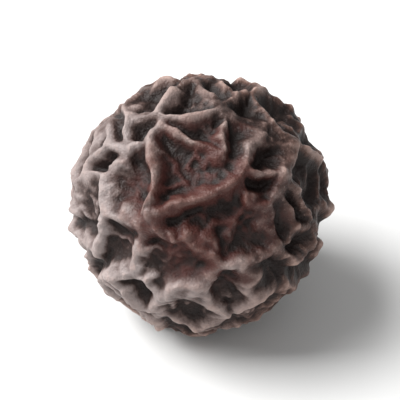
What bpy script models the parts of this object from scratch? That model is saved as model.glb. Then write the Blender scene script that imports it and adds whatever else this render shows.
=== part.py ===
"""Black peppercorn: one dried pepper berry, lying on a table.

The berry was picked green, and its skin shrank onto the round seed as it dried. The skin was too
large for the seed by then, so it stands up in a net of folded ridges round sunken fields. At one
end is the point where the flower's stigma sat, and at the other the round scar where the berry
sat on its spike, with no stalk of its own. All of it is one closed solid, and it rests on the
crests of a few ridges. Metres, +Z up, the table at z = 0.
"""

import math
import random
from itertools import combinations

import bmesh
import bpy
import numpy as np
from mathutils import Euler, Vector, noise

# Driving dimensions, in metres.
DIAMETER = 0.0050
RIDGE_HEIGHT = 0.00036
RIDGE_WIDTH = 0.00034
TIP_HEIGHT = 0.00015
TIP_WIDTH = 0.00044
SCAR_WIDTH = 0.00100
SCAR_RIM_HEIGHT = 0.00010

# How the berry lies: its axis leans over, then turns about the vertical.
CENTRE_HEIGHT = 0.00230
LEAN = math.radians(57.9)
ROLL = math.radians(-3.5)
TURN = math.radians(-20)

# It stands on the crests of the ridges under it, pressed flat between four feet. These are the
# ways the feet lie from the middle, and how steeply the flat crests rise outside them.
FOOT_TURNS = [math.radians(turn) for turn in (-15, 80, 157, 239)]
FOOT_EDGE_SLOPE = 0.15

# The sunken fields: how many there are, and how many of them ring the tip and the scar.
FIELDS = 110
TIP_FIELDS = 5
SCAR_FIELDS = 7
TIP_RING = math.radians(23)
SCAR_RING = math.radians(27)
FIELD_SEED = 3
NOISE_SEED = 1

# How far the ridges stray from straight lines, as a share of the berry's radius, and how tightly.
BEND, BEND_SCALE = 0.17, 2.4
WOBBLE, WOBBLE_SCALE = 0.035, 7.0
FIELD_SQUASH = 0.86

# A ridge's section: a round crest with a low skirt, and how much the crest is filled out.
CREST_SHARPNESS = 1.9
SKIRT_SHARE, SKIRT_SPREAD = 0.2, 2.2
CREST_FILL = 1.35

# The body under the ridges is a little lumpy.
LUMP_HEIGHT, LUMP_SCALE = 0.00008, 1.3
DENT_HEIGHT, DENT_SCALE = 0.00005, 2.9

# The ball that the skin is drawn from: each edge of its 320 triangles is cut this many times.
EDGE_CUTS = 4
CREST_REACH = 0.026

RADIUS = DIAMETER / 2
FLOOR_RADIUS = RADIUS - RIDGE_HEIGHT


def unit(vectors):
    """The same directions with length 1."""
    return vectors / np.linalg.norm(vectors, axis=-1, keepdims=True)


def smooth_step(low, high, values):
    """0 below low and 1 above high, with a smooth rise between."""
    share = np.clip((values - low) / (high - low), 0, 1)
    return share * share * (3 - 2 * share)


def bell(distance, width):
    """1 at distance 0, falling to nearly nothing at the edges of width."""
    return np.exp(-((2 * distance / width) ** 2))


def drift(directions, scale, pattern):
    """A smooth wandering vector at each direction, each part between -1 and 1."""
    noise.seed_set(NOISE_SEED)
    shift = 10 * pattern * Vector((1, -1, 2))
    return np.array([noise.noise_vector(Vector(d) * scale + shift) for d in directions])


def ring_of_fields(count, angle, side, dice):
    """Middles of the fields that ring one end of the berry, a little unevenly."""
    reach = math.sin(angle)
    turns = [math.tau * (i + dice.uniform(-0.17, 0.17)) / count for i in range(count)]
    return [(reach * math.cos(t), reach * math.sin(t), side * math.cos(angle)) for t in turns]


def field_middles():
    """Middles of all the sunken fields: a ring at each end and a shaken spiral between."""
    dice = random.Random(FIELD_SEED)
    middles = ring_of_fields(TIP_FIELDS, TIP_RING, 1, dice)
    middles += ring_of_fields(SCAR_FIELDS, SCAR_RING, -1, dice)
    left = FIELDS - len(middles)
    top = math.cos(1.6 * TIP_RING)
    bottom = -math.cos(1.55 * SCAR_RING)
    golden_turn = math.pi * (3 - math.sqrt(5))
    shake = 0.3 * math.sqrt(4 * math.pi / FIELDS)
    for i in range(left):
        z = top + (bottom - top) * (i + 0.5) / left
        reach = math.sqrt(1 - z * z)
        place = Vector((reach * math.cos(golden_turn * i), reach * math.sin(golden_turn * i), z))
        place += shake * Vector([dice.gauss(0, 1) for _ in range(3)])
        middles.append(tuple(place.normalized()))
    return np.array(middles)


def ridge_strengths():
    """How strong the ridge between each two fields is. One in seven has almost sunk away.

    The first fields are those that ring the ends, and the ridges between them all stand.
    """
    dice = np.random.default_rng(FIELD_SEED)
    strengths = dice.uniform(0.7, 1.0, (FIELDS, FIELDS))
    sunk = dice.random((FIELDS, FIELDS)) < 1 / 7
    strengths[sunk] = dice.uniform(0.1, 0.35, sunk.sum())
    ends = TIP_FIELDS + SCAR_FIELDS
    strengths[:ends, :ends] = 0.9
    upper = np.triu(strengths, 1)
    return upper + upper.T


def nearest_fields(directions):
    """The six fields nearest to each direction, their squared distances, and all the middles.

    The directions stray first, so that the ridges bend, and are squashed, so that the fields are
    a little taller than wide.
    """
    stray = BEND * drift(directions, BEND_SCALE, 1) + WOBBLE * drift(directions, WOBBLE_SCALE, 2)
    squash = np.array([1, 1, FIELD_SQUASH])
    places = unit(directions + stray) * squash
    middles = field_middles() * squash
    squares = (places**2).sum(1)[:, None] + (middles**2).sum(1) - 2 * places @ middles.T
    nearest = np.argsort(squares, axis=1)[:, :6]
    return nearest, np.take_along_axis(squares, nearest, 1), middles


def ridge_net(directions):
    """Height of the net of ridges, from 0 on the floor of a field to about 1 on a crest.

    A ridge runs where two fields are equally near and no third is nearer. Where ridges meet they
    blend, by the fourth root of the sum of their fourth powers.
    """
    nearest, squares, middles = nearest_fields(directions)
    strengths = ridge_strengths()
    half_width = RIDGE_WIDTH / DIAMETER
    total = np.zeros(len(directions))
    for near, far in combinations(range(5), 2):
        first, second = nearest[:, near], nearest[:, far]
        apart = 2 * np.linalg.norm(middles[first] - middles[second], axis=1)
        from_crest = (squares[:, far] - squares[:, near]) / apart
        others = [k for k in range(6) if k not in (near, far)]
        third = (squares[:, others].min(1) - squares[:, far]) / apart
        strength = strengths[first, second]
        across = from_crest / (half_width * (0.7 + 0.4 * strength))
        crest = np.exp(-np.abs(across) ** CREST_SHARPNESS)
        skirt = np.exp(-((across / SKIRT_SPREAD) ** 2))
        section = (1 - SKIRT_SHARE) * crest + SKIRT_SHARE * skirt
        total += (strength * section * smooth_step(-1.3 * half_width, 0, third)) ** 4
    return 1 - (1 - np.minimum(total**0.25, 1)) ** CREST_FILL


def drawn_to_crests(directions):
    """The same directions, with those close to a crest moved onto it."""
    nearest, squares, middles = nearest_fields(directions)
    across = middles[nearest[:, 1]] - middles[nearest[:, 0]]
    apart = np.linalg.norm(across, axis=1)
    from_crest = (squares[:, 1] - squares[:, 0]) / (2 * apart)
    step = np.where(from_crest < CREST_REACH, from_crest, 0)
    return unit(directions + across * (step / apart)[:, None])


def skin(directions):
    """The berry's outside in its own frame, with the tip at +Z and the scar at -Z."""
    lumps = drift(directions, LUMP_SCALE, 3)[:, 0]
    dents = drift(directions, DENT_SCALE, 4)[:, 0]
    body = FLOOR_RADIUS + LUMP_HEIGHT * lumps + DENT_HEIGHT * dents
    height = RIDGE_HEIGHT * ridge_net(directions) * (1 + 0.25 * dents)
    from_tip = RADIUS * np.arccos(np.clip(directions[:, 2], -1, 1))
    from_scar = math.pi * RADIUS - from_tip
    height += TIP_HEIGHT * bell(from_tip, TIP_WIDTH)
    beyond_scar = smooth_step(0.35 * SCAR_WIDTH, 0.55 * SCAR_WIDTH, from_scar)
    scar_floor = 0.4 * RIDGE_HEIGHT
    height = scar_floor + (height - scar_floor) * beyond_scar
    height += SCAR_RIM_HEIGHT * bell(from_scar - SCAR_WIDTH / 2, 0.3 * SCAR_WIDTH)
    return directions * (body + height)[:, None]


def pressed_flat(points):
    """The same points, with those that lie below the table pushed up onto it.

    The four feet are the pressed points farthest out in the four directions of FOOT_TURNS. Only
    the crests between them are level, and the rest rise a little towards the outside.
    """
    pressed = points[points[:, 2] < 0, :2]
    feet = [pressed[np.argmax(pressed @ (math.cos(t), math.sin(t)))] for t in FOOT_TURNS]
    outside = np.zeros(len(points))
    for here, there in zip(feet, feet[1:] + feet[:1]):
        along = unit(there - here)
        outward = np.array([along[1], -along[0]])
        outside = np.maximum(outside, (points[:, :2] - here) @ outward)
    heights = np.maximum(points[:, 2], FOOT_EDGE_SLOPE * outside)
    return np.column_stack([points[:, :2], heights])


def peppercorn_mesh():
    """A ball of even triangles, drawn out to the skin, laid down and pressed on the table."""
    bm = bmesh.new()
    bmesh.ops.create_icosphere(bm, subdivisions=3, radius=1)
    bmesh.ops.subdivide_edges(bm, edges=bm.edges[:], cuts=EDGE_CUTS, use_grid_fill=True)
    directions = drawn_to_crests(unit(np.array([v.co[:] for v in bm.verts])))
    laid = skin(directions) @ np.array(Euler((LEAN, ROLL, TURN)).to_matrix()).T
    places = pressed_flat(laid + (0, 0, CENTRE_HEIGHT))
    for vert, place in zip(bm.verts, places):
        vert.co = place
    bmesh.ops.triangulate(bm, faces=bm.faces)
    bmesh.ops.recalc_face_normals(bm, faces=bm.faces)
    mesh = bpy.data.meshes.new("peppercorn")
    bm.to_mesh(mesh)
    bm.free()
    return mesh


def pepper_skin():
    """Dried pepper skin: very dark brown and dull, with a slight sheen."""
    material = bpy.data.materials.new("pepper_skin")
    material.use_nodes = True
    shader = material.node_tree.nodes["Principled BSDF"]
    shader.inputs["Base Color"].default_value = (0.045, 0.032, 0.027, 1)
    shader.inputs["Roughness"].default_value = 0.55
    shader.inputs["Metallic"].default_value = 0
    return material


for leftover in list(bpy.data.objects):
    bpy.data.objects.remove(leftover)

collection = bpy.data.collections.new("black_peppercorn")
bpy.context.scene.collection.children.link(collection)

peppercorn = bpy.data.objects.new("peppercorn", peppercorn_mesh())
peppercorn.data.materials.append(pepper_skin())
peppercorn.data.shade_smooth()
peppercorn.data.set_sharp_from_angle(angle=math.radians(60))
collection.objects.link(peppercorn)
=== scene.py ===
"""One dried black peppercorn on a pale table, close up, in soft light from the upper left."""

import math
import random
from itertools import combinations

import bmesh
import bpy
import numpy as np
from mathutils import Euler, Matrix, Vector, noise


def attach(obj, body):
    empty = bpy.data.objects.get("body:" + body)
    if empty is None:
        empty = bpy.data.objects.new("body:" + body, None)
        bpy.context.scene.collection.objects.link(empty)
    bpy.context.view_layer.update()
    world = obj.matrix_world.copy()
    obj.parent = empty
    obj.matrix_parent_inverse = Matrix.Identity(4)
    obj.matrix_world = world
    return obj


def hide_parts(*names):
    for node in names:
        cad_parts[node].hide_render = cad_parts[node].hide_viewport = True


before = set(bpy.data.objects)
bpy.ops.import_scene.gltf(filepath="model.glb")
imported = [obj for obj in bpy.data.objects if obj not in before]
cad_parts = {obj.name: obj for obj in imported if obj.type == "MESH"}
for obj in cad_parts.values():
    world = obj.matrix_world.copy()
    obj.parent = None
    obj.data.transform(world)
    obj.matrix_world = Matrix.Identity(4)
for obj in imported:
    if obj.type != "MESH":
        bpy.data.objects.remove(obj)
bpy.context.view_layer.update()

# The berry's skin, all one piece. It was green, fleshy and smooth when it was picked. In the sun
# it shrank onto the round seed and browned to nearly black, and since it was too large by then it
# stands up in a net of folded ridges. The seed inside never shows.

# Sizes in metres, and how the berry lies.
DIAMETER = 0.0050
RIDGE_HEIGHT = 0.00036
RIDGE_WIDTH = 0.00034
TIP_HEIGHT = 0.00015
TIP_WIDTH = 0.00044
SCAR_WIDTH = 0.00100
SCAR_RIM_HEIGHT = 0.00010
CENTRE_HEIGHT = 0.00230
LEAN = math.radians(57.9)
ROLL = math.radians(-3.5)
TURN = math.radians(-20)

# The scar's even floor lies at a share of the ridges' height. The other shares are of the scar's
# width: how far the floor reaches from its middle, where the full ridges begin, and the rim.
SCAR_FLOOR_LEVEL = 0.4
SCAR_FLOOR_REACH, RIDGES_FROM = 0.35, 0.55
SCAR_RIM_SHARE = 0.3

# The sunken fields between the ridges, and the rings of them round the tip and the scar.
FIELDS = 110
TIP_FIELDS = 5
SCAR_FIELDS = 7
TIP_RING = math.radians(23)
SCAR_RING = math.radians(27)
FIELD_SEED = 3
NOISE_SEED = 1

# How far the ridges stray, as a share of the berry's radius, and how tightly.
BEND, BEND_SCALE = 0.17, 2.4
WOBBLE, WOBBLE_SCALE = 0.035, 7.0
FIELD_SQUASH = 0.86

# A ridge's section, and the slow lumps and dents of the body under the ridges. The ridges are
# higher and lower with the dents, by the share RIDGE_CHANGE.
CREST_SHARPNESS = 1.9
SKIRT_SHARE, SKIRT_SPREAD = 0.2, 2.2
CREST_FILL = 1.35
LUMP_HEIGHT, LUMP_SCALE = 0.00008, 1.3
DENT_HEIGHT, DENT_SCALE = 0.00005, 2.9
RIDGE_CHANGE = 0.25

# The fine creases that cross the fields and climb the ridges. They run between many small fields
# of their own, and each has its own strength, up to CREASE_STRONGEST. On a crest they lose the
# share CREASE_LOSS of their height.
CREASES = 560
CREASE_HEIGHT = 0.00011
CREASE_WIDTH = 0.00011
CREASE_STRONGEST = 1.2
CREASE_LOSS = 0.5
CREASE_BEND, CREASE_BEND_SCALE = 0.13, 5.0
CREASE_WOBBLE, CREASE_WOBBLE_SCALE = 0.05, 13.0

# The pleats down the ridges' sides, and the grain of the dry skin.
PLEAT_HEIGHT, PLEAT_SCALE = 0.00006, 18.0
GRAIN_HEIGHT, GRAIN_SCALE = 0.000016, 22.0
PIMPLE_HEIGHT, PIMPLE_SCALE = 0.000008, 52.0

# How far a crest leans over the field beside it, and how its height comes and goes. The lean is
# by a power of the height, so that the crest leans much more than the foot of the ridge.
CREST_LEAN, CREST_LEAN_SCALE = 0.00018, 4.2
CREST_LEAN_POWER = 1.5
CREST_WAVE, CREST_WAVE_SCALE = 0.00007, 8.5

# Each edge of the starting ball's 320 triangles is cut this many times, and the folds are eased
# this many times over. The colours follow how far the skin stands out of the skin round it, and
# what sinks in is painted darker, partly as painted shade: near round it for a small fold, and
# wide round it for a whole ridge.
EDGE_CUTS = 19
EASING_ROUNDS = 3
NEAR_ROUNDS, WIDE_ROUNDS = 12, 120

RADIUS = DIAMETER / 2
FLOOR_RADIUS = RADIUS - RIDGE_HEIGHT


def unit(vectors):
    """The same directions with length 1."""
    return vectors / np.linalg.norm(vectors, axis=-1, keepdims=True)


def smooth_step(low, high, values):
    """0 below low and 1 above high, with a smooth rise between."""
    share = np.clip((values - low) / (high - low), 0, 1)
    return share * share * (3 - 2 * share)


def bell(distance, width):
    """1 at distance 0, falling to nearly nothing at the edges of width."""
    return np.exp(-((2 * distance / width) ** 2))


def drift(directions, scale, pattern):
    """A smooth wandering vector at each direction, each part between -1 and 1. Every pattern
    number wanders in its own way."""
    noise.seed_set(NOISE_SEED)
    shift = 10 * pattern * Vector((1, -1, 2))
    return np.array([noise.noise_vector(Vector(d) * scale + shift) for d in directions])


def ring_of_fields(count, angle, side, dice):
    """Middles of the fields that ring one end of the berry, a little unevenly."""
    reach = math.sin(angle)
    turns = [math.tau * (i + dice.uniform(-0.17, 0.17)) / count for i in range(count)]
    return [(reach * math.cos(t), reach * math.sin(t), side * math.cos(angle)) for t in turns]


def shaken_spiral(count, top, bottom, shake, dice):
    """Points spread evenly over the ball between two heights, each shaken a little."""
    golden_turn = math.pi * (3 - math.sqrt(5))
    points = []
    for i in range(count):
        z = top + (bottom - top) * (i + 0.5) / count
        reach = math.sqrt(1 - z * z)
        place = Vector((reach * math.cos(golden_turn * i), reach * math.sin(golden_turn * i), z))
        place += shake * Vector([dice.gauss(0, 1) for _ in range(3)])
        points.append(tuple(place.normalized()))
    return points


def field_middles():
    """Middles of all the sunken fields: a ring at each end and a shaken spiral between."""
    dice = random.Random(FIELD_SEED)
    middles = ring_of_fields(TIP_FIELDS, TIP_RING, 1, dice)
    middles += ring_of_fields(SCAR_FIELDS, SCAR_RING, -1, dice)
    top = math.cos(1.6 * TIP_RING)
    bottom = -math.cos(1.55 * SCAR_RING)
    shake = 0.3 * math.sqrt(4 * math.pi / FIELDS)
    middles += shaken_spiral(FIELDS - len(middles), top, bottom, shake, dice)
    return np.array(middles)


def ridge_strengths():
    """How strong the ridge between each two fields is. One in seven has almost sunk away.

    The first fields are those that ring the ends, and the ridges between them all stand.
    """
    dice = np.random.default_rng(FIELD_SEED)
    strengths = dice.uniform(0.7, 1.0, (FIELDS, FIELDS))
    sunk = dice.random((FIELDS, FIELDS)) < 1 / 7
    strengths[sunk] = dice.uniform(0.1, 0.35, sunk.sum())
    ends = TIP_FIELDS + SCAR_FIELDS
    strengths[:ends, :ends] = 0.9
    upper = np.triu(strengths, 1)
    return upper + upper.T


def nearest_middles(places, middles, count):
    """The middles nearest to each place, and their squared distances. The places are taken some
    thousands at once, to spare memory."""
    at_once = 8192
    nearest, squares = [], []
    for start in range(0, len(places), at_once):
        some = places[start : start + at_once]
        all_squares = (some**2).sum(1)[:, None] + (middles**2).sum(1) - 2 * some @ middles.T
        order = np.argsort(all_squares, axis=1)[:, :count]
        nearest.append(order)
        squares.append(np.take_along_axis(all_squares, order, 1))
    return np.concatenate(nearest), np.concatenate(squares)


def pleat_waves(places, middles, nearest, squares, net):
    """Pleats that follow one another along each side of a ridge, as waves between -1 and 1. They
    fade out on the floor of a field and where ridges meet.

    Each ridge reads the noise along a line of its own, told by the numbers of its two fields, and
    its two sides read that line in opposite directions.
    """
    first, second = middles[nearest[:, 0]], middles[nearest[:, 1]]
    along = (places * unit(np.cross(second - first, second + first))).sum(1)
    lines = 3.1 * (nearest[:, :2].min(1) + 0.37 * nearest[:, :2].max(1))
    waves = [noise.noise((PLEAT_SCALE * t, line, 0.5)) for t, line in zip(along, lines)]
    clear_of_third = smooth_step(0, 0.03, squares[:, 2] - squares[:, 1])
    return np.array(waves) * clear_of_third * smooth_step(0.1, 0.4, net)


def ridge_net(directions):
    """Height of the net of ridges, from 0 on the floor of a field to about 1 on a crest, and the
    pleats on the ridges' sides.

    A ridge runs where two fields are equally near and no third is nearer. Where ridges meet they
    blend, by the fourth root of the sum of their fourth powers.
    """
    stray = BEND * drift(directions, BEND_SCALE, 1) + WOBBLE * drift(directions, WOBBLE_SCALE, 2)
    squash = np.array([1, 1, FIELD_SQUASH])
    middles = field_middles() * squash
    places = unit(directions + stray) * squash
    nearest, squares = nearest_middles(places, middles, 6)
    strengths = ridge_strengths()
    half_width = RIDGE_WIDTH / DIAMETER
    total = np.zeros(len(directions))
    for near, far in combinations(range(5), 2):
        first, second = nearest[:, near], nearest[:, far]
        apart = 2 * np.linalg.norm(middles[first] - middles[second], axis=1)
        from_crest = (squares[:, far] - squares[:, near]) / apart
        others = [k for k in range(6) if k not in (near, far)]
        third = (squares[:, others].min(1) - squares[:, far]) / apart
        strength = strengths[first, second]
        across = from_crest / (half_width * (0.7 + 0.4 * strength))
        crest = np.exp(-np.abs(across) ** CREST_SHARPNESS)
        skirt = np.exp(-((across / SKIRT_SPREAD) ** 2))
        section = (1 - SKIRT_SHARE) * crest + SKIRT_SHARE * skirt
        total += (strength * section * smooth_step(-1.3 * half_width, 0, third)) ** 4
    net = 1 - (1 - np.minimum(total**0.25, 1)) ** CREST_FILL
    return net, pleat_waves(places, middles, nearest, squares, net)


def crease_net(directions):
    """Height of the finer net of creases, highest along a small fold and 0 away from it."""
    dice = random.Random(FIELD_SEED + 1)
    shake = 0.45 * math.sqrt(4 * math.pi / CREASES)
    middles = np.array(shaken_spiral(CREASES, 0.999, -0.999, shake, dice))
    stray = CREASE_BEND * drift(directions, CREASE_BEND_SCALE, 5)
    stray = stray + CREASE_WOBBLE * drift(directions, CREASE_WOBBLE_SCALE, 6)
    nearest, squares = nearest_middles(unit(directions + stray), middles, 3)
    apart = 2 * np.linalg.norm(middles[nearest[:, 0]] - middles[nearest[:, 1]], axis=1)
    from_fold = (squares[:, 1] - squares[:, 0]) / apart
    strengths = np.random.default_rng(FIELD_SEED).uniform(0, CREASE_STRONGEST, (CREASES, CREASES))
    pair = np.sort(nearest[:, :2], axis=1)
    strength = strengths[pair[:, 0], pair[:, 1]]
    return strength * np.exp(-((from_fold / (CREASE_WIDTH / DIAMETER)) ** 2))


def skin(directions):
    """The berry's outside, with the tip at +Z and the scar at -Z, and its net of ridges."""
    lumps = drift(directions, LUMP_SCALE, 3)[:, 0]
    dents = drift(directions, DENT_SCALE, 4)[:, 0]
    body = FLOOR_RADIUS + LUMP_HEIGHT * lumps + DENT_HEIGHT * dents
    net, pleats = ridge_net(directions)
    height = RIDGE_HEIGHT * net * (1 + RIDGE_CHANGE * dents)
    height += PLEAT_HEIGHT * pleats
    height += CREST_WAVE * net * drift(directions, CREST_WAVE_SCALE, 7)[:, 0]
    height += CREASE_HEIGHT * crease_net(directions) * (1 - CREASE_LOSS * net)
    from_tip = RADIUS * np.arccos(np.clip(directions[:, 2], -1, 1))
    from_scar = math.pi * RADIUS - from_tip
    height += TIP_HEIGHT * bell(from_tip, TIP_WIDTH)
    scar_floor = SCAR_FLOOR_LEVEL * RIDGE_HEIGHT
    floor_edge, ridge_edge = SCAR_FLOOR_REACH * SCAR_WIDTH, RIDGES_FROM * SCAR_WIDTH
    height = scar_floor + (height - scar_floor) * smooth_step(floor_edge, ridge_edge, from_scar)
    height += SCAR_RIM_HEIGHT * bell(from_scar - SCAR_WIDTH / 2, SCAR_RIM_SHARE * SCAR_WIDTH)
    sideways = np.cross(directions, drift(directions, CREST_LEAN_SCALE, 10))
    places = directions * (body + height)[:, None]
    return places + CREST_LEAN * (net**CREST_LEAN_POWER)[:, None] * sideways, net


def eased(places, edges, rounds):
    """The same points with the sharp folds rounded: each moves halfway to the middle of its
    neighbours, a few times over."""
    counts = np.bincount(edges.ravel(), minlength=len(places))[:, None]
    for _ in range(rounds):
        sums = np.zeros_like(places)
        for axis in range(3):
            sums[:, axis] += np.bincount(edges[:, 0], places[edges[:, 1], axis], len(places))
            sums[:, axis] += np.bincount(edges[:, 1], places[edges[:, 0], axis], len(places))
        places = 0.5 * places + 0.5 * sums / counts
    return places


def standing_out(places, edges, rounds):
    """How far each point stands out of the skin round it, from -1 to 1. More rounds of smoothing
    take in more of that skin."""
    counts = np.bincount(edges.ravel(), minlength=len(places))
    reach = np.linalg.norm(places, axis=1)
    smoothed = reach.copy()
    for _ in range(rounds):
        sums = np.bincount(edges[:, 0], smoothed[edges[:, 1]], len(places))
        sums += np.bincount(edges[:, 1], smoothed[edges[:, 0]], len(places))
        smoothed = 0.5 * smoothed + 0.5 * sums / counts
    out = reach - smoothed
    return np.clip(out / (2.5 * out.std()), -1, 1)


def add_shade(mesh, name, values):
    """Keeps one number at each point of the mesh, for the material to read."""
    shade = mesh.attributes.new(name, "FLOAT", "POINT")
    shade.data.foreach_set("value", values.astype(np.float32))


def peppercorn_mesh():
    """A ball of fine even triangles, drawn out to the skin, laid down and pressed on the table."""
    bm = bmesh.new()
    bmesh.ops.create_icosphere(bm, subdivisions=3, radius=1)
    bmesh.ops.subdivide_edges(bm, edges=bm.edges[:], cuts=EDGE_CUTS, use_grid_fill=True)
    mesh = bpy.data.meshes.new("wrinkled_peppercorn")
    bm.to_mesh(mesh)
    bm.free()
    directions = np.empty(3 * len(mesh.vertices))
    mesh.vertices.foreach_get("co", directions)
    directions = unit(directions.reshape(-1, 3))
    places, net = skin(directions)
    edges = np.empty(2 * len(mesh.edges), int)
    mesh.edges.foreach_get("vertices", edges)
    edges = edges.reshape(-1, 2)
    places = eased(places, edges, EASING_ROUNDS)
    grain = GRAIN_HEIGHT * drift(directions, GRAIN_SCALE, 8)[:, 0]
    grain += PIMPLE_HEIGHT * drift(directions, PIMPLE_SCALE, 9)[:, 0]
    places += grain[:, None] * directions
    laid = places @ np.array(Euler((LEAN, ROLL, TURN)).to_matrix()).T
    laid[:, 2] = np.maximum(laid[:, 2] + CENTRE_HEIGHT, 0)
    mesh.vertices.foreach_set("co", laid.ravel())
    add_shade(mesh, "ridge", net)
    add_shade(mesh, "fold", standing_out(places, edges, NEAR_ROUNDS))
    add_shade(mesh, "swell", standing_out(places, edges, WIDE_ROUNDS))
    mesh.update()
    mesh.shade_smooth()
    return mesh


class Wire:
    """One socket in a material. Sums on wires add Math nodes to the same material."""

    def __init__(self, tree, socket):
        self.tree = tree
        self.socket = socket

    def node(self, kind, settings, inputs, output=0):
        """A new node: its settings first, then the value or wire of each of its sockets."""
        made = self.tree.nodes.new(kind)
        for name, value in settings.items():
            if name == "stops":
                ramp = made.color_ramp
                while len(ramp.elements) < len(value):
                    ramp.elements.new(1)
                for element, (place, colour) in zip(ramp.elements, value):
                    element.position = place
                    element.color = (*colour, 1)
            else:
                setattr(made, name, value)
        for name, value in inputs.items():
            if isinstance(value, Wire):
                self.tree.links.new(value.socket, made.inputs[name])
            else:
                made.inputs[name].default_value = value
        return Wire(self.tree, made.outputs[output])

    def maths(self, operation, *values):
        """A Math node of the given operation."""
        return self.node("ShaderNodeMath", {"operation": operation}, dict(enumerate(values)))

    def __add__(self, other):
        return self.maths("ADD", self, other)

    def __sub__(self, other):
        return self.maths("SUBTRACT", self, other)

    def __rsub__(self, other):
        return self.maths("SUBTRACT", other, self)

    def __mul__(self, other):
        return self.maths("MULTIPLY", self, other)

    __radd__ = __add__
    __rmul__ = __mul__

    def between(self, low, high):
        """0 where this is below low and 1 where it is above high, with a smooth rise between."""
        settings = {"interpolation_type": "SMOOTHSTEP"}
        return self.node("ShaderNodeMapRange", settings, {0: self, 1: low, 2: high})

    def colours(self, *stops):
        """A colour for each value, along a ramp."""
        return self.node("ShaderNodeValToRGB", {"stops": stops}, {0: self})

    def towards(self, colour, share):
        """This colour, mixed towards another one."""
        return self.node("ShaderNodeMix", {"data_type": "RGBA"}, {0: share, 6: self, 7: colour}, 2)


# Colours of the dried skin: nearly black in the fields, partly the skin's own dark and partly
# painted shade, dark brown up the ridges, and a dusty grey-brown where a crest has been rubbed
# pale.
FIELD_BLACK = (0.0105, 0.0052, 0.0042)
FLANK_BROWN = (0.021, 0.0105, 0.0085)
RIDGE_BROWN = (0.088, 0.046, 0.036)
CREST_GREY = (0.335, 0.226, 0.192)

# Three colours laid over them, and how much of each shows at most: redder skin, a pale grey of
# painted light, and pale dust.
RED_BROWN, RED_SHARE = (0.056, 0.0135, 0.0105, 1), 0.80
PAINTED_LIGHT_GREY, PAINTED_LIGHT_SHARE = (0.245, 0.218, 0.215, 1), 0.75
DUST_GREY, DUST_SHARE = (0.34, 0.24, 0.21, 1), 0.5

# Where the skin changes, with places in millimetres. One spot browned redder in the sun. The skin
# is painted pale grey on its upper left side, as painted light where the window light falls, and a
# little paler on its lower front side, also painted light: each side is a direction, and the
# longer it is, the sooner the skin changes towards it. The number after the upper left side holds
# that painted light back.
RED_SPOT, RED_SPOT_REACH = (0.0, -1.95, 3.75), 1.9
WINDOW_LIT_SIDE, WINDOW_LIT_FROM = (-0.25, -0.28, 0.16), 0.46
LOWER_FRONT_LIT_SIDE = (-0.08, -0.30, -0.22)

# How fine the patterns on the skin are: about this many spots to the millimetre. Then how strong
# the relief of the finest wrinkles is, and how deep in metres.
PATCH_SCALE, MOTTLE_SCALE, SPECK_SCALE = 0.6, 2.2, 14.0
WRINKLE_SCALE, PORE_SCALE = 9.0, 20.0
RELIEF_STRENGTH, RELIEF_DEPTH = 0.7, 0.00006


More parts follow.
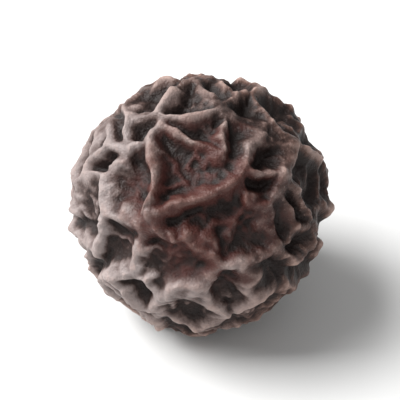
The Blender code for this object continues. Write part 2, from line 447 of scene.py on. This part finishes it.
def peppercorn_finish():
    """Dry skin: colour by height and by patches, dull in the folds and waxy on the crests."""
    finish = bpy.data.materials.new("dried_pepper_skin")
    finish.use_nodes = True
    tree = finish.node_tree
    shader = tree.nodes["Principled BSDF"]
    start = Wire(tree, shader.outputs[0])
    place = start.node("ShaderNodeTexCoord", {}, {}, "Object")
    millimetres = start.node("ShaderNodeVectorMath", {"operation": "SCALE"}, {0: place, 3: 1000})

    def shade(name):
        """One of the numbers kept at the mesh's points."""
        return start.node("ShaderNodeAttribute", {"attribute_name": name}, {}, "Fac")

    def speckle(scale, detail, roughness=0.5):
        """Soft irregular spots, around 0.5."""
        sockets = {"Vector": millimetres, "Scale": scale, "Detail": detail, "Roughness": roughness}
        return start.node("ShaderNodeTexNoise", {}, sockets, "Fac")

    def measured(operation, vector):
        """How far each place lies along a direction, or its distance from a point."""
        sockets = {0: millimetres, 1: vector}
        return start.node("ShaderNodeVectorMath", {"operation": operation}, sockets, "Value")

    # Where the skin is painted lighter on its upper left and lower front sides, and where it is
    # red, each from 0 to 1.
    patches = speckle(PATCH_SCALE, 3.0)
    mottle = speckle(MOTTLE_SCALE, 4.0, 0.6)
    fine = speckle(SPECK_SCALE, 4.0, 0.65)
    # Painted light: paler grey on the upper left side, which faces the window light.
    window_lit_paling = measured("DOT_PRODUCT", WINDOW_LIT_SIDE) - WINDOW_LIT_FROM + 1.2 * (patches - 0.5)
    window_lit_paling = window_lit_paling.between(-0.1, 0.9)
    # Painted light: a little paler on the lower front side.
    lower_front_painted_light = (measured("DOT_PRODUCT", LOWER_FRONT_LIT_SIDE) + 0.4 * (patches - 0.5)).between(-0.15, 0.3)
    away = measured("DISTANCE", RED_SPOT) * (1 / RED_SPOT_REACH)
    red = (1.15 - away + 1.6 * (mottle - 0.5)).between(0.1, 0.8)

    # The colour follows how high the skin stands, so that the fields and folds are darker, partly
    # as painted shade. It is shifted from place to place: by random patches, darker in the red
    # spot, and lighter on the upper left and lower front sides as painted light.
    ridge, fold, swell = shade("ridge"), shade("fold"), shade("swell")
    height = 0.41 + 0.38 * swell + 0.27 * fold + 0.19 * window_lit_paling + 0.08 * lower_front_painted_light - 0.11 * red
    height = height + 0.55 * (mottle - 0.5) + 0.22 * (fine - 0.5)
    colour = height.colours(
        (0.18, FIELD_BLACK),
        (0.45, FLANK_BROWN),
        (0.68, RIDGE_BROWN),
        (0.96, CREST_GREY),
    )
    colour = colour.towards(RED_BROWN, RED_SHARE * red * height.between(0.1, 0.5))
    # The pale grey of painted light on the upper left side, kept off the red spot and the fields.
    painted_light = (1 - red) * window_lit_paling * height.between(0.44, 0.84)
    colour = colour.towards(PAINTED_LIGHT_GREY, PAINTED_LIGHT_SHARE * painted_light)
    dust = fine.between(0.56, 0.70) * (0.25 + 0.75 * ridge) * fold.between(-0.2, 0.5)
    dust = dust * (1 - 0.5 * red)
    colour = colour.towards(DUST_GREY, DUST_SHARE * dust)
    dullness = 0.60 - 0.16 * ridge + 0.25 * (mottle - 0.5) + 0.15 * (fine - 0.5) + 0.12 * dust

    # Fine wrinkles, specks and pores, too small for the mesh.
    sockets = {"Vector": millimetres, "Scale": PORE_SCALE}
    pores = start.node("ShaderNodeTexVoronoi", {"feature": "F1"}, sockets, "Distance")
    relief = 0.6 * speckle(WRINKLE_SCALE, 5.0, 0.62) + 0.4 * fine + 0.25 * pores
    sockets = {"Strength": RELIEF_STRENGTH, "Distance": RELIEF_DEPTH, "Height": relief}
    bump = start.node("ShaderNodeBump", {}, sockets)
    for name, wire in (("Base Color", colour), ("Roughness", dullness), ("Normal", bump)):
        tree.links.new(wire.socket, shader.inputs[name])
    shader.inputs["Specular IOR Level"].default_value = 0.25
    return finish


peppercorn = bpy.data.objects.new("wrinkled_peppercorn", peppercorn_mesh())
peppercorn.data.materials.append(peppercorn_finish())
bpy.context.scene.collection.objects.link(peppercorn)
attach(peppercorn, "root")
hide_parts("peppercorn")

# The table: a plain board, painted pale and matt. It is far wider than the berry, so that only
# its top shows.
TABLE_WIDTH = 0.4
BOARD_PAINT = (0.66, 0.66, 0.655, 1)
table_mesh = bpy.data.meshes.new("table")
bm = bmesh.new()
bmesh.ops.create_grid(bm, x_segments=8, y_segments=8, size=TABLE_WIDTH / 2)
bm.to_mesh(table_mesh)
bm.free()
table = bpy.data.objects.new("table", table_mesh)
bpy.context.scene.collection.objects.link(table)
paint = bpy.data.materials.new("pale_matt_board")
paint.use_nodes = True
board = paint.node_tree.nodes["Principled BSDF"]
board.inputs["Base Color"].default_value = BOARD_PAINT
board.inputs["Roughness"].default_value = 0.75
table_mesh.materials.append(paint)

# Daylight in a plain room: a soft window light from the upper left, a weak one from the front to
# open the shadows, and a pale even glow from all round.
BERRY_MIDDLE = Vector((0, 0, 0.0024))
world = bpy.data.worlds.new("pale_room")
world.use_nodes = True
glow = world.node_tree.nodes["Background"]
glow.inputs["Color"].default_value = (1, 1, 1, 1)
glow.inputs["Strength"].default_value = 0.40
bpy.context.scene.world = world


def soft_light(name, place, width, power):
    """A square soft light at place, turned towards the berry."""
    light = bpy.data.lights.new(name, "AREA")
    light.size = width
    light.energy = power
    lamp = bpy.data.objects.new(name, light)
    lamp.location = place
    lamp.rotation_euler = (BERRY_MIDDLE - Vector(place)).to_track_quat("-Z", "Y").to_euler()
    bpy.context.scene.collection.objects.link(lamp)


soft_light("window_light", place=(-0.28, 0.03, 0.31), width=0.30, power=4.2)
soft_light("fill_light", place=(0.06, -0.48, 0.18), width=0.40, power=0.48)

# The camera: a long lens, close in, looking down on the table at the photograph's slope. The lens
# and the width of the frame behind it are in millimetres.
CAMERA_SLOPE = math.radians(38)
CAMERA_REACH = 0.0215
LENS_LENGTH, FRAME_WIDTH = 100, 36
lens = bpy.data.cameras.new("camera")
lens.sensor_width = FRAME_WIDTH
lens.lens = LENS_LENGTH
lens.clip_start = 0.001
camera = bpy.data.objects.new("camera", lens)
camera_side = Vector((0, -math.cos(CAMERA_SLOPE), math.sin(CAMERA_SLOPE)))
camera.location = BERRY_MIDDLE + CAMERA_REACH * camera_side
camera.rotation_euler = (BERRY_MIDDLE - camera.location).to_track_quat("-Z", "Y").to_euler()
bpy.context.scene.collection.objects.link(camera)
bpy.context.scene.camera = camera
bpy.context.scene.view_settings.view_transform = "Standard"
